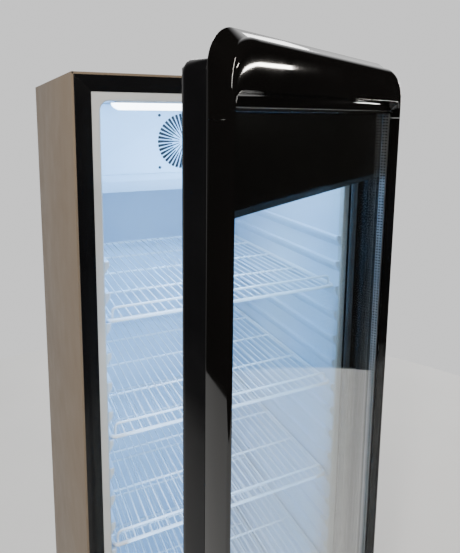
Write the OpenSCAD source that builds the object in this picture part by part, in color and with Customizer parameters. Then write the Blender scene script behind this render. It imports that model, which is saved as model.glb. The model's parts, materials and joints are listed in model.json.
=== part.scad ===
// Glass door merchandiser: an upright display fridge with one hinged glass door.
// Origin: on the floor, under the middle of the cabinet. +Z up, the door faces -Y.

/* [Cabinet] */
// Outside width of the cabinet
cab_w = 600; // [560:1:680]
// Outside depth of the cabinet without its door
cab_d = 640; // [600:1:720]
// Height of the cabinet's top above the floor
cab_h = 1900; // [1880:1:1960]
// Height of the floor of the machine compartment
base_h = 60; // [50:1:70]
// Height of the underside of the insulated floor
machine_top = 262; // [255:1:270]
// Thickness of the outer sheet metal
sheet_t = 1; // [0.8:0.1:1.2]
// Width of the sheet metal edge that shows around the black front frame
sheet_edge = 4; // [3:0.5:5]
// Width of the black front frame
frame_w = 27.3; // [24:0.1:30]
// Width of the white rim inside the black front frame
rim_w = 14.4; // [12:0.1:18]
// Radius of the corners of the front opening
rim_r = 16; // [10:1:24]
// Thickness of the insulated back wall
back_wall = 50; // [45:1:60]

/* [Shelves] */
// Number of wire shelves
shelf_count = 5; // [4:1:5]
// Distance between two ledges on the side walls
ledge_pitch = 57; // [55:0.5:58]
// Ledges from one shelf to the next
ledges_per_shelf = 4; // [4:1:4]
// Height of the top of the ledge that holds the highest shelf
top_shelf_ledge = 1459.5; // [1440:0.5:1470]
// How far a ledge stands out of the wall
ledge_reach = 11; // [9:0.5:12]
// Distance from the front of the cabinet to the front of a shelf
shelf_set_back = 10; // [8:1:20]
// Depth of a shelf
shelf_d = 555; // [520:1:560]
// Thickness of the outer wire of a shelf
rim_wire = 7; // [6:0.5:8]
// Thickness of the wires that carry the goods
deck_wire = 3; // [2.5:0.5:4]
// Distance between the wires that carry the goods
deck_pitch = 17; // [15:0.5:20]
// Height of the raised front rail over the outer wire
rail_rise = 20; // [16:1:24]

/* [Door] */
// Angle at which the door stands open
door_open = 30; // [0:1:60]
// Gap between the cabinet and the door's rear frame
door_gap = 12; // [11.5:0.5:14]
// Depth of the door's rear frame
rear_frame_d = 37.5; // [34:0.5:40]
// Depth of the door's front profile
front_frame_d = 36.2; // [34:0.1:40]
// Height of the door's lower edge
door_bottom = 276; // [274:1:280]
// Height of the seam between the side profiles and the header
header_seam = 1829; // [1815:1:1835]
// How far the header stands above the cabinet's top
header_rise = 33; // [20:1:40]
// Radius of the header's upper corners
header_r = 52; // [40:1:60]
// Width of the front lip around the glass
lip_w = 6; // [5:0.5:10]
// How far the glass lies behind the front lip
glass_recess = 15; // [12:0.5:16]
// Thickness of one glass pane
pane_t = 4; // [4:0.5:5]
// Distance of the hinge axis from the cabinet's right side
hinge_in = 14; // [12:1:18]
// Distance of the hinge axis in front of the cabinet
hinge_out = 20; // [19:1:24]
// Radius of the hinge pins
pin_r = 4; // [3:0.5:5]

/* [Cooling] */
// Distance from the cabinet's front to the evaporator cover
cover_set_back = 290; // [270:1:320]
// Height of the lower edge of the evaporator cover
cover_bottom = 1696; // [1685:1:1705]
// Height of the evaporator fan's axis
fan_z = 1768; // [1764:1:1772]
// Radius of the round grille in front of the evaporator fan
grille_r = 65; // [60:1:68]
// Number of slots in the round grille
grille_slots = 40; // [32:4:44]

/* [Hidden] */

$fn = 48;
eps = 1;
half_w = cab_w / 2;
front_y = -cab_d / 2;
back_y = cab_d / 2;
plinth_h = base_h - 4;

// Front frame and opening
frame_out_x = half_w - sheet_edge;
frame_in_x = frame_out_x - frame_w;
open_x = frame_in_x - rim_w;
frame_top = cab_h - sheet_edge;
frame_bottom = machine_top + 8;
open_top = frame_top - frame_w - rim_w;
open_bottom = frame_bottom + frame_w + rim_w;
frame_d = 14;
rim_t = 3;
liner_t = 1.5;
liner_front = front_y + 1 + rim_t;
liner_back_y = back_y - back_wall;

// Door planes, for the closed door
door_rear_y = front_y - door_gap;
door_join_y = door_rear_y - rear_frame_d;
door_front_y = door_join_y - front_frame_d;
hinge_x = half_w - hinge_in;
hinge_y = front_y - hinge_out;
header_top = cab_h + header_rise;
header_lip_z = cab_h - 40;
rear_frame_top = cab_h - 4;
lip_x = half_w - lip_w;
glass_x = half_w - 2.5;
glass_bottom = door_bottom + 4;
glass_top = header_lip_z - 10;
glass_front_y = door_front_y + glass_recess;
spacer_front_y = glass_front_y + pane_t;
spacer_back_y = door_join_y - 0.2 - pane_t;
bush_r = 6.5;
bush_depth = 16;
pin_fit = 0.05;

// Shelves
shelf_x = open_x - 3;
shelf_y0 = front_y + shelf_set_back;
wire_fn = 8;
deck_rise = (rim_wire - deck_wire) / 2 + 0.3;
deck_side = floor((shelf_x - rim_wire / 2 - 6) / deck_pitch);

// Cooling
cover_y = front_y + cover_set_back;
blade_r = 56;
shaft_r = 3;
shaft_fit = 0.05;
machine_fan_x = -45;
machine_fan_z = 165;
machine_fan_y = 40;
machine_fan_r = 72;

// A block between two corners
module block(low, high) {
    translate(low) cube(high - low);
}

// A flat shape in the XZ plane, given a depth along +Y from y0
module upright(y0, depth) {
    translate([0, y0 + depth, 0]) rotate([90, 0, 0]) linear_extrude(depth) children();
}

// A flat shape in the YZ plane, given a length along +X from x0
module sideways(x0, length) {
    translate([x0, 0, 0]) rotate([90, 0, 90]) linear_extrude(length) children();
}

// A rectangle between two corners with round corners
module round_rect(low, high, r) {
    translate([low.x + r, low.y]) square([high.x - low.x - 2 * r, high.y - low.y]);
    translate([low.x, low.y + r]) square([high.x - low.x, high.y - low.y - 2 * r]);
    for (x = [low.x + r, high.x - r], z = [low.y + r, high.y - r])
        translate([x, z]) circle(r);
}

// A straight bar of octagonal wire along X or Y, through the point at its start
module wire_x(start, length, d) {
    translate(start) rotate([0, 90, 0]) rotate(22.5) cylinder(d = d, h = length, $fn = wire_fn);
}
module wire_y(start, length, d) {
    translate(start) rotate([-90, 0, 0]) rotate(22.5) cylinder(d = d, h = length, $fn = wire_fn);
}

// Turns the closed door to the angle at which it stands open
module at_door() {
    translate([hinge_x, hinge_y, 0]) rotate(door_open) translate([-hinge_x, -hinge_y, 0]) children();
}

// ---- Base and outer casing ----

module plinth_frame() {
    inset = 22;
    wall = 3;
    color("black") difference() {
        block([inset - half_w, front_y + 40, 0], [half_w - inset, back_y - inset, plinth_h]);
        block([inset - half_w + wall, front_y + 40 + wall, -eps],
            [half_w - inset - wall, back_y - inset - wall, plinth_h + eps]);
    }
}

module base_pan() {
    color("gray") difference() {
        block([sheet_t - half_w, front_y, plinth_h], [half_w - sheet_t, back_y - sheet_t, base_h]);
        for (side = [-1, 1])
            translate([side * foot_x, foot_y, 0]) cylinder(r = foot_stud_r + 0.05, h = base_h + eps);
    }
}

module side_panel(side) {
    mirror([side < 0 ? 1 : 0, 0, 0]) {
        block([half_w - sheet_t, front_y, base_h - 6], [half_w, back_y, cab_h]);
        block([half_w - sheet_edge, front_y, base_h], [half_w - sheet_t, front_y + 1, cab_h - sheet_t]);
    }
}
module left_side_panel() {
    color("tan") side_panel(-1);
}
module right_side_panel() {
    color("tan") side_panel(1);
}

module top_panel() {
    color("tan") {
        block([sheet_t - half_w, front_y + 1, cab_h - sheet_t], [half_w - sheet_t, back_y, cab_h]);
        block([sheet_edge - half_w, front_y, cab_h - sheet_edge], [half_w - sheet_edge, front_y + 1, cab_h]);
    }
}

module back_panel() {
    color("tan")
        block([sheet_t - half_w, back_y - sheet_t, machine_top], [half_w - sheet_t, back_y, cab_h - sheet_t]);
}

// ---- Insulation ----

foam_y0 = front_y + frame_d;
foam_y1 = back_y - sheet_t;
foam_x = open_x + liner_t;
foam_top_z = cab_h - sheet_t;

module foam_left() {
    color("khaki") block([sheet_t - half_w, foam_y0, machine_top], [-foam_x, foam_y1, foam_top_z]);
}
module foam_right() {
    color("khaki") block([foam_x, foam_y0, machine_top], [half_w - sheet_t, foam_y1, foam_top_z]);
}
module foam_top() {
    color("khaki") block([-foam_x, foam_y0, open_top + liner_t], [foam_x, foam_y1, foam_top_z]);
}
module foam_back() {
    color("khaki") block([-foam_x, liner_back_y + liner_t, open_bottom - liner_t],
        [foam_x, foam_y1, open_top + liner_t]);
}
module foam_floor() {
    color("khaki") block([-foam_x, foam_y0, machine_top], [foam_x, foam_y1, open_bottom - liner_t]);
}

// ---- Inner liner ----

module liner_left() {
    color("white") block([-foam_x, liner_front, open_bottom], [-open_x, liner_back_y, open_top]);
}
module liner_right() {
    color("white") block([open_x, liner_front, open_bottom], [foam_x, liner_back_y, open_top]);
}
module liner_ceiling() {
    color("white") block([-foam_x, liner_front, open_top], [foam_x, liner_back_y, open_top + liner_t]);
}
module liner_floor() {
    color("white") block([-foam_x, liner_front, open_bottom - liner_t], [foam_x, liner_back_y, open_bottom]);
}
module liner_back() {
    color("white") block([-foam_x, liner_back_y, open_bottom - liner_t],
        [foam_x, liner_back_y + liner_t, open_top + liner_t]);
}

// Ledges run from the front of the shelves almost to the back wall
module ledge(top_z) {
    upright(shelf_y0, liner_back_y - 6 - shelf_y0)
        polygon([[open_x, top_z], [open_x - ledge_reach, top_z], [open_x - ledge_reach, top_z - 6],
            [open_x, top_z - 22]]);
}
module shelf_ledges() {
    above = 2;
    below = ledges_per_shelf * (shelf_count - 1) + 2;
    color("white") for (step = [-below : above], side = [0, 1])
        mirror([side, 0, 0]) ledge(top_shelf_ledge + step * ledge_pitch);
}

module liner_rim() {
    color("whitesmoke") upright(front_y + 1, rim_t) difference() {
        translate([-frame_in_x, frame_bottom + frame_w])
            square([2 * frame_in_x, frame_top - frame_bottom - 2 * frame_w]);
        round_rect([-open_x, open_bottom], [open_x, open_top], rim_r);
    }
}

// ---- Black front frame, cut at 45 degrees in its corners ----

module frame_side() {
    upright(front_y, frame_d) polygon([[frame_out_x, frame_bottom], [frame_out_x, frame_top],
        [frame_in_x, frame_top - frame_w], [frame_in_x, frame_bottom + frame_w]]);
}
module frame_end(z_out, z_in) {
    upright(front_y, frame_d) polygon([[-frame_out_x, z_out], [frame_out_x, z_out],
        [frame_in_x, z_in], [-frame_in_x, z_in]]);
}
module front_frame_right() {
    color("black") frame_side();
}
module front_frame_left() {
    color("black") mirror([1, 0, 0]) frame_side();
}
module front_frame_top() {
    color("black") frame_end(frame_top, frame_top - frame_w);
}
module front_frame_bottom() {
    color("black") frame_end(frame_bottom, frame_bottom + frame_w);
}

// ---- Evaporator unit under the ceiling ----

cover_x = open_x - 1.5;
cover_t = 1.5;
screw_x = 60;
screw_dz = 61;
screw_r = 2;

module grille_slot(index) {
    inner = index % 2 == 0 ? 20 : 38;
    rotate(index * 360 / grille_slots) translate([inner, -2]) square([grille_r - inner, 4]);
}

module evaporator_cover() {
    color("lightsteelblue") upright(cover_y, cover_t) difference() {
        translate([-cover_x, cover_bottom]) square([2 * cover_x, open_top - 1 - cover_bottom]);
        translate([0, fan_z]) for (i = [0 : grille_slots - 1]) grille_slot(i);
        for (x = [-screw_x, screw_x], z = [fan_z - screw_dz, fan_z + screw_dz])
            translate([x, z]) circle(screw_r);
    }
}

// The pan falls towards the back wall, so that thawed water runs to the drain
module evaporator_pan() {
    pan_y = cover_y + cover_t;
    drop = 46;
    color("lightsteelblue") sideways(-cover_x, 2 * cover_x)
        polygon([[pan_y, cover_bottom], [liner_back_y - 1, cover_bottom - drop],
            [liner_back_y - 1, cover_bottom - drop + 2], [pan_y, cover_bottom + 2]]);
}

// Flat fins on straight tubes
module finned_block(low, high, fins, rows, tiers) {
    tube_d = 8;
    span = high.x - low.x;
    for (i = [0 : fins - 1])
        translate([low.x + 4 + i * (span - 9) / (fins - 1), low.y, low.z])
            cube([1, high.y - low.y, high.z - low.z]);
    for (r = [0 : rows - 1], t = [0 : tiers - 1])
        wire_x([low.x, low.y + (r + 0.5) * (high.y - low.y) / rows,
            low.z + (t + 0.5) * (high.z - low.z) / tiers], span, tube_d);
}

module evaporator_coil() {
    color("silver") finned_block([-190, cover_y + 90, 1712], [190, liner_back_y - 20, 1840], 20, 3, 3);
}

module evaporator_fan_motor() {
    motor_y = cover_y + 34;
    arm_y = motor_y + 6;
    arm_x = 74;
    arm_t = 3;
    color("dimgray") {
        translate([0, motor_y, fan_z]) rotate([-90, 0, 0]) cylinder(r = 24, h = 34);
        translate([0, motor_y - 16, fan_z]) rotate([-90, 0, 0]) cylinder(r = shaft_r, h = 20);
        for (side = [0, 1]) mirror([side, 0, 0]) {
            block([20, arm_y, fan_z - 5], [arm_x, arm_y + arm_t, fan_z + 5]);
            block([arm_x - arm_t, cover_y + cover_t, fan_z - 5], [arm_x, arm_y + arm_t, fan_z + 5]);
        }
    }
}

// Pitched flat blades on a hub, turning about Y
module fan_blade(r, blades, hub_r, hub_h) {
    rotate([-90, 0, 0]) difference() {
        union() {
            cylinder(r = hub_r, h = hub_h);
            for (i = [0 : blades - 1]) rotate(i * 360 / blades)
                translate([hub_r - 3, 0, hub_h / 2]) rotate([28, 0, 0])
                    translate([0, -hub_r * 0.95, -0.8]) cube([r - hub_r, hub_r * 1.9, 1.6]);
        }
        translate([0, 0, -eps]) cylinder(r = shaft_r + shaft_fit, h = hub_h + 2 * eps);
    }
}
module evaporator_fan_blade() {
    color("dimgray") translate([0, cover_y + 18, fan_z]) fan_blade(blade_r, 5, 14, 14);
}

module cover_screws() {
    color("black") for (x = [-screw_x, screw_x], z = [fan_z - screw_dz, fan_z + screw_dz])
        translate([x, cover_y - 1.6, z]) rotate([-90, 0, 0]) {
            cylinder(r = 3.6, h = 1.6);
            cylinder(r = screw_r, h = 12);
        }
}

// ---- Lamp ----

lamp_y = front_y + 26;
lamp_d = 40;
lamp_half = 224;
lamp_plate_t = 3;

module lamp_housing() {
    color("white") block([-lamp_half, lamp_y, open_top - lamp_plate_t],
        [lamp_half, lamp_y + lamp_d, open_top]);
}
module lamp_diffuser() {
    top = open_top - lamp_plate_t;
    drop = 12;
    side = lamp_half - 1;
    color("white") upright(lamp_y + 1, lamp_d - 2)
        polygon([[-side, top], [2 - side, top - 5], [13 - side, top - drop],
            [side - 13, top - drop], [side - 2, top - 5], [side, top]]);
}

// ---- Shelves ----

function shelf_z(index) = top_shelf_ledge + rim_wire / 2 - (index - 1) * ledges_per_shelf * ledge_pitch;

module shelf(index) {
    z = shelf_z(index);
    inner_x = shelf_x - rim_wire / 2;
    color("white") {
        for (x = [-inner_x, inner_x]) wire_y([x, shelf_y0, z], shelf_d, rim_wire);
        for (y = [shelf_y0 + rim_wire / 2, shelf_y0 + shelf_d - rim_wire / 2, shelf_y0 + shelf_d / 2])
            wire_x([-inner_x, y, z], 2 * inner_x, rim_wire - 0.5);
        for (i = [-deck_side : deck_side])
            wire_y([i * deck_pitch, shelf_y0 + 2, z + deck_rise], shelf_d - 4, deck_wire);
    }
}
module shelf_1() {
    shelf(1);
}
module shelf_2() {
    shelf(2);
}
module shelf_3() {
    shelf(3);
}
module shelf_4() {
    shelf(4);
}
module shelf_5() {
    shelf(5);
}

// A low wire rail along the front of each shelf keeps the goods from sliding off
module shelf_front_rails() {
    rail_d = 5;
    post_x = deck_side * deck_pitch;
    rail_x = post_x + rail_d / 2;
    rail_y = shelf_y0 + 12;
    color("white") for (k = [1 : shelf_count]) {
        z = shelf_z(k) + deck_rise + deck_wire / 2 * cos(180 / wire_fn);
        wire_x([-rail_x, rail_y, z + rail_rise - rail_d / 2], 2 * rail_x, rail_d);
        for (x = [-post_x, post_x])
            translate([x, rail_y, z]) rotate(22.5)
                cylinder(d = rail_d - 0.7, h = rail_rise - rail_d / 2 + 0.9, $fn = wire_fn);
    }
}

// ---- Machine compartment ----

knob_x = 120;
switch_x = 200;
panel_z = 226;
grille_t = 2;
foot_x = 262;
foot_y = front_y + 20;
foot_stud_r = 5;
gland_x = -250;
gland_z = 110;
gland_r = 9;
switch_y = front_y + 6;
pivot_r = 1.5;

module louvres(x0, x1, z0, count, pitch, height) {
    for (i = [0 : count - 1]) translate([x0, z0 + i * pitch]) square([x1 - x0, height]);
}

module kick_grille() {
    color("black") upright(front_y, grille_t) difference() {
        translate([-half_w + sheet_edge, base_h]) square([cab_w - 2 * sheet_edge, frame_bottom - base_h]);
        louvres(-250, 60, 88, 9, 17, 8);
        translate([knob_x, panel_z]) circle(4);
        translate([switch_x - 13, panel_z - 8]) square([26, 16]);
    }
}

module rear_grille() {
    color("gray") upright(back_y - sheet_t, sheet_t) difference() {
        translate([sheet_t - half_w, base_h]) square([cab_w - 2 * sheet_t, machine_top - base_h]);
        louvres(-200, 240, 90, 9, 17, 7);
        translate([gland_x, gland_z]) circle(gland_r + 0.05);
    }
}

// Sealed compressor: a pot on a foot plate, with its terminal box
module compressor() {
    color("black") translate([150, 190, base_h]) {
        translate([-85, -60, 6]) cube([170, 120, 4]);
        rotate_extrude() polygon([[0, 6], [60, 6], [68, 22], [68, 108],
            [60, 132], [42, 148], [20, 154], [0, 155]]);
        translate([-30, -92, 40]) cube([60, 40, 50]);
        for (x = [-74, 74], y = [-48, 48]) translate([x, y, 0]) cylinder(r = 11, h = 7);
    }
}

module condenser() {
    color("dimgray") finned_block([-150, front_y + 60, base_h + 8], [60, front_y + 130, 240], 15, 2, 5);
}

module condenser_fan_motor() {
    color("dimgray") {
        translate([machine_fan_x, machine_fan_y, machine_fan_z]) rotate([-90, 0, 0]) {
            cylinder(r = 26, h = 40);
            translate([0, 0, -30]) cylinder(r = shaft_r, h = 34);
        }
        block([machine_fan_x - 15, machine_fan_y + 10, base_h],
            [machine_fan_x + 15, machine_fan_y + 14, machine_fan_z - 10]);
    }
}

module condenser_fan_blade() {
    color("gray") translate([machine_fan_x, machine_fan_y - 26, machine_fan_z])
        fan_blade(machine_fan_r, 5, 17, 16);
}

module filter_drier() {
    color("peru") translate([-200, 60, 150]) rotate([-90, 0, 0]) rotate_extrude()
        polygon([[0, 0], [3, 0], [3, 14], [11, 26], [11, 110], [3, 122], [3, 150], [0, 150]]);
}

module control_box() {
    color("whitesmoke") difference() {
        block([90, front_y + grille_t, 196], [220, front_y + 70, 256]);
        translate([knob_x, front_y, panel_z]) rotate([-90, 0, 0])
            cylinder(r = shaft_r + shaft_fit, h = 39);
        block([switch_x - 13, front_y, panel_z - 9], [switch_x + 13, switch_y + 11, panel_z + 9]);
        translate([switch_x - 15, switch_y, panel_z]) rotate([0, 90, 0])
            cylinder(r = pivot_r + shaft_fit, h = 30);
    }
}

module thermostat_knob() {
    color("black") translate([knob_x, front_y - 0.6, panel_z]) rotate([90, 0, 0]) {
        difference() {
            cylinder(r = 16, h = 13);
            translate([-1, 7, 11.5]) cube([2, 12, 4]);
        }
        translate([0, 0, -30]) cylinder(r = shaft_r, h = 32);
    }
}

// A rocker on two pivot stubs, at rest with its upper edge in
module lamp_switch() {
    color("green") translate([switch_x, switch_y, panel_z]) rotate([8, 0, 0]) {
        translate([-12, -10, -6]) cube([24, 16, 12]);
        translate([-14, 0, 0]) rotate([0, 90, 0]) cylinder(r = pivot_r, h = 28);
    }
}

module cord_gland() {
    gland_l = 24;
    flange_t = 4;
    color("black") translate([gland_x, back_y - gland_l, gland_z]) rotate([-90, 0, 0]) difference() {
        union() {
            cylinder(r = gland_r, h = gland_l);
            translate([0, 0, gland_l - sheet_t - flange_t]) cylinder(r = gland_r + 3, h = flange_t);
        }
        translate([0, 0, -eps]) cylinder(r = 4, h = gland_l + 2 * eps);
    }
}

module level_foot(side) {
    color("dimgray") translate([side * foot_x, foot_y, 0]) {
        cylinder(r = 17, h = 8);
        cylinder(r = foot_stud_r, h = base_h + 14);
        translate([0, 0, 14]) cylinder(r = 10, h = 6, $fn = 6);
    }
}
module level_foot_left() {
    level_foot(-1);
}
module level_foot_right() {
    level_foot(1);
}

// ---- Hinges: the brackets and pins stay on the cabinet, the bushes turn with the door ----

module top_hinge() {
    plate_t = 3;
    color("black") {
        translate([0, 0, cab_h]) linear_extrude(plate_t) {
            translate([hinge_x, hinge_y]) circle(12);
            translate([hinge_x - 12, hinge_y]) square([24, 90]);
        }
        translate([hinge_x, hinge_y, cab_h - 16]) cylinder(r = pin_r, h = 17);
    }
}

module bottom_hinge() {
    plate_t = 3;
    plate_z = door_bottom - 8;
    color("black") {
        translate([0, 0, plate_z]) linear_extrude(plate_t) {
            translate([hinge_x, hinge_y]) circle(12);
            translate([hinge_x - 12, hinge_y]) square([24, hinge_out]);
        }
        block([hinge_x - 40, front_y - plate_t, plate_z - 36], [hinge_x + 12, front_y, plate_z + plate_t]);
        translate([hinge_x, hinge_y, plate_z + 1]) cylinder(r = pin_r, h = 20);
        translate([hinge_x, hinge_y, plate_z + 1]) cylinder(r = 7, h = door_bottom - 0.4 - plate_z - 1);
    }
}

module hinge_bush(z) {
    translate([hinge_x, hinge_y, z]) difference() {
        cylinder(r = bush_r, h = bush_depth);
        translate([0, 0, -eps]) cylinder(r = pin_r + pin_fit, h = bush_depth + 2 * eps);
    }
}
module hinge_bushes() {
    color("ivory") at_door() {
        hinge_bush(door_bottom);
        hinge_bush(rear_frame_top - bush_depth);
    }
}

// ---- Door ----

// Side outline of the header: upright at the lip, then a quarter of an ellipse up to its back
header_face_z = header_lip_z + 12;
header_side = [for (a = [0 : 7.5 : 90])
    [door_join_y - front_frame_d * cos(a), header_face_z + (header_top - header_face_z) * sin(a)]];

module door_header() {
    color("black") at_door() difference() {
        intersection() {
            upright(door_front_y, front_frame_d) {
                translate([-half_w, header_seam])
                    square([cab_w, header_top - header_r - header_seam]);
                translate([header_r - half_w, header_seam])
                    square([cab_w - 2 * header_r, header_top - header_seam]);
                for (x = [header_r - half_w, half_w - header_r])
                    translate([x, header_top - header_r]) circle(header_r);
            }
            sideways(-half_w, cab_w)
                polygon(concat([[door_join_y, header_seam], [door_front_y, header_seam]], header_side));
        }
        block([-lip_x, door_front_y - eps, header_seam - eps], [lip_x, glass_front_y, header_lip_z]);
        block([-glass_x - 0.3, glass_front_y - 0.1, header_seam - eps],
            [glass_x + 0.3, door_join_y + eps, glass_top + 1]);
    }
}

module side_profile() {
    block([glass_x + 0.5, door_front_y, door_bottom], [half_w, door_join_y, header_seam - 0.3]);
    block([lip_x, door_front_y, door_bottom], [half_w, glass_front_y - 0.1, header_seam - 0.3]);
}
module door_side_profiles() {
    color("black") at_door() {
        side_profile();
        mirror([1, 0, 0]) side_profile();
    }
}

module door_bottom_rail() {
    color("black") at_door() {
        block([-lip_x + 0.3, door_front_y, door_bottom],
            [lip_x - 0.3, glass_front_y - 0.1, door_bottom + 34]);
        block([-lip_x + 0.3, glass_front_y - 1, door_bottom], [lip_x - 0.3, door_join_y, door_bottom + 3]);
    }
}

module door_rear_frame() {
    inner_x = half_w - 12;
    inner_low = door_bottom + 24;
    inner_high = rear_frame_top - 54;
    corner_r = 14;
    color("black") at_door() difference() {
        upright(door_join_y, rear_frame_d) difference() {
            union() {
                translate([-half_w, door_bottom])
                    square([cab_w, rear_frame_top - corner_r - door_bottom]);
                translate([corner_r - half_w, door_bottom])
                    square([cab_w - 2 * corner_r, rear_frame_top - door_bottom]);
                for (x = [corner_r - half_w, half_w - corner_r])
                    translate([x, rear_frame_top - corner_r]) circle(corner_r);
            }
            translate([-inner_x, inner_low]) square([2 * inner_x, inner_high - inner_low]);
        }
        translate([hinge_x, hinge_y, door_bottom - eps]) cylinder(r = bush_r, h = bush_depth + eps);
        translate([hinge_x, hinge_y, rear_frame_top - bush_depth]) cylinder(r = bush_r, h = bush_depth + eps);
    }
}

module door_gasket() {
    out_x = hinge_x - 2;
    width = 12;
    low = door_bottom + 6;
    high = rear_frame_top - 8;
    color("gray") at_door() upright(door_rear_y, door_gap - 0.4) difference() {
        translate([-out_x, low]) square([2 * out_x, high - low]);
        translate([width - out_x, low + width]) square([2 * (out_x - width), high - low - 2 * width]);
    }
}

module pane(y0) {
    block([-glass_x, y0, glass_bottom], [glass_x, y0 + pane_t, glass_top]);
}
module outer_glass() {
    color("lightblue", 0.3) at_door() pane(glass_front_y);
}
module inner_glass() {
    color("lightblue", 0.3) at_door() pane(spacer_back_y);
}
module glass_spacer() {
    width = 7;
    low = glass_bottom + 5;
    high = glass_top - 5;
    out_x = glass_x - 3.5;
    color("silver") at_door() upright(spacer_front_y, spacer_back_y - spacer_front_y) difference() {
        translate([-out_x, low]) square([2 * out_x, high - low]);
        translate([width - out_x, low + width]) square([2 * (out_x - width), high - low - 2 * width]);
    }
}

plinth_frame();
base_pan();
left_side_panel();
right_side_panel();
top_panel();
back_panel();
foam_left();
foam_right();
foam_top();
foam_back();
foam_floor();
liner_left();
liner_right();
liner_ceiling();
liner_back();
liner_floor();
shelf_ledges();
liner_rim();
front_frame_top();
front_frame_left();
front_frame_right();
front_frame_bottom();
evaporator_cover();
evaporator_pan();
evaporator_coil();
evaporator_fan_motor();
evaporator_fan_blade();
cover_screws();
lamp_housing();
lamp_diffuser();
shelf_1();
shelf_2();
shelf_3();
shelf_4();
shelf_5();
shelf_front_rails();
kick_grille();
rear_grille();
compressor();
condenser();
condenser_fan_motor();
condenser_fan_blade();
filter_drier();
control_box();
thermostat_knob();
lamp_switch();
cord_gland();
level_foot_left();
level_foot_right();
top_hinge();
bottom_hinge();
hinge_bushes();
door_header();
door_side_profiles();
door_bottom_rail();
door_rear_frame();
door_gasket();
outer_glass();
inner_glass();
glass_spacer();
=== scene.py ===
import json
import math
import bmesh
import bpy
from mathutils import Matrix, Vector


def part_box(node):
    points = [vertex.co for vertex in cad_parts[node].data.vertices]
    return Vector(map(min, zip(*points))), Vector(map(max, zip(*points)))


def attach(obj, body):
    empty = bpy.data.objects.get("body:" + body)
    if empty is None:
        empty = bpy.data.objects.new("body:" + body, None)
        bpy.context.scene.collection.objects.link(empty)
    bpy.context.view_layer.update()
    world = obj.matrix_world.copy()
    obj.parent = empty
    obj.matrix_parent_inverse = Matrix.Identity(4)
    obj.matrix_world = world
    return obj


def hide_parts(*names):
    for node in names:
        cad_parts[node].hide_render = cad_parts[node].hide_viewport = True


# Glass door merchandiser: the looks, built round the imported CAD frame. Metres, +Z up, the door side faces -Y.

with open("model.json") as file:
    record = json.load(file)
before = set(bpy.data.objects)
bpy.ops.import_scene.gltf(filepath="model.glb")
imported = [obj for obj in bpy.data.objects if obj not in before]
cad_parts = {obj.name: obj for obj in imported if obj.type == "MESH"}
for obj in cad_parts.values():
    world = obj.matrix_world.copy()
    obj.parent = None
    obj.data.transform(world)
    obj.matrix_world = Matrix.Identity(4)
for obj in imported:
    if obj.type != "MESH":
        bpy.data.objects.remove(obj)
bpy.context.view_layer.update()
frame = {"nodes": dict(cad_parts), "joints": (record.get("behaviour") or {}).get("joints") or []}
NODES = frame["nodes"]
JOINTS = {joint["name"]: joint for joint in frame["joints"]}
MM = 0.001

# The door is drawn closed and then turned about its hinge to the angle at which it rests.
HINGE = Vector(JOINTS["door_swing"]["pos_m"])
REST_ANGLE = -math.radians(JOINTS["door_swing"]["range_deg"][0])
TURN = Matrix.Translation(HINGE) @ Matrix.Rotation(REST_ANGLE, 4, "Z") @ Matrix.Translation(-HINGE)


def closed_box(node):
    """Lowest and highest corner of a door node with the door closed."""
    back = TURN.inverted()
    points = [back @ v.co for v in NODES[node].data.vertices]
    return (Vector(min(p[i] for p in points) for i in range(3)),
            Vector(max(p[i] for p in points) for i in range(3)))


# ---- Materials ----

NOISE_LOW, NOISE_HIGH = 0.3, 0.7
SMEARS_PER_PATCH = 5
SPANGLE_SCALE = 70
# How much a pane mirrors when seen head on, and how steeply that rises towards a glancing view.
HEAD_ON, GLANCE_POWER = 0.04, 5


def new_material(name):
    """A node material with its Principled shader and its object coordinates."""
    material = bpy.data.materials.new(name)
    material.use_nodes = True
    tree = material.node_tree
    coords = tree.nodes.new("ShaderNodeTexCoord").outputs["Object"]
    return material, tree, tree.nodes["Principled BSDF"], coords


def noise(tree, coords, scale, detail=3.0):
    """A noise texture at a scale per metre."""
    texture = tree.nodes.new("ShaderNodeTexNoise")
    texture.inputs["Scale"].default_value = scale
    texture.inputs["Detail"].default_value = detail
    tree.links.new(coords, texture.inputs["Vector"])
    return texture.outputs["Fac"]


def blend_colours(tree, factor, first, second, low=0.35, high=0.65):
    """A colour that runs from first to second as factor goes from low to high."""
    ramp = tree.nodes.new("ShaderNodeValToRGB")
    ramp.color_ramp.elements[0].position = low
    ramp.color_ramp.elements[1].position = high
    ramp.color_ramp.elements[0].color = (*first, 1)
    ramp.color_ramp.elements[1].color = (*second, 1)
    tree.links.new(factor, ramp.inputs["Fac"])
    return ramp.outputs["Color"]


def spread(tree, factor, low, high):
    """A number that runs from low to high over the middle of a noise."""
    scale = tree.nodes.new("ShaderNodeMapRange")
    scale.inputs["From Min"].default_value = NOISE_LOW
    scale.inputs["From Max"].default_value = NOISE_HIGH
    scale.inputs["To Min"].default_value = low
    scale.inputs["To Max"].default_value = high
    tree.links.new(factor, scale.inputs["Value"])
    return scale.outputs["Result"]


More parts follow.
